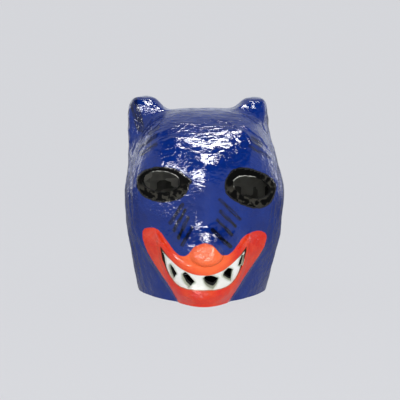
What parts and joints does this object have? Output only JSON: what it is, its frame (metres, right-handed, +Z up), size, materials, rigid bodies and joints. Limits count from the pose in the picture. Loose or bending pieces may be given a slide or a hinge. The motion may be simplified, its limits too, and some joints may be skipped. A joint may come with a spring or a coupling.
{
  "type": "bear head mask",
  "caption": "Papier-mache helmet mask of a grinning bear, gloss blue with a red muzzle, cut eyes and gapped white teeth, open below.",
  "frame": {"origin": "middle of the mask's box at the level of the open rim it stands on", "axes": "+Z up from the rim to the ears, the face looks along -Y, +X to the viewer's right"},
  "size_m": [0.27, 0.3254, 0.3296],
  "materials": {
    "enamelled_papier_mache": "brushed gloss enamel, blue with red muzzle, white teeth and black marks"
  },
  "bodies": {
    "root": {"mask_shell": "enamelled_papier_mache"}
  },
  "joints": []
}
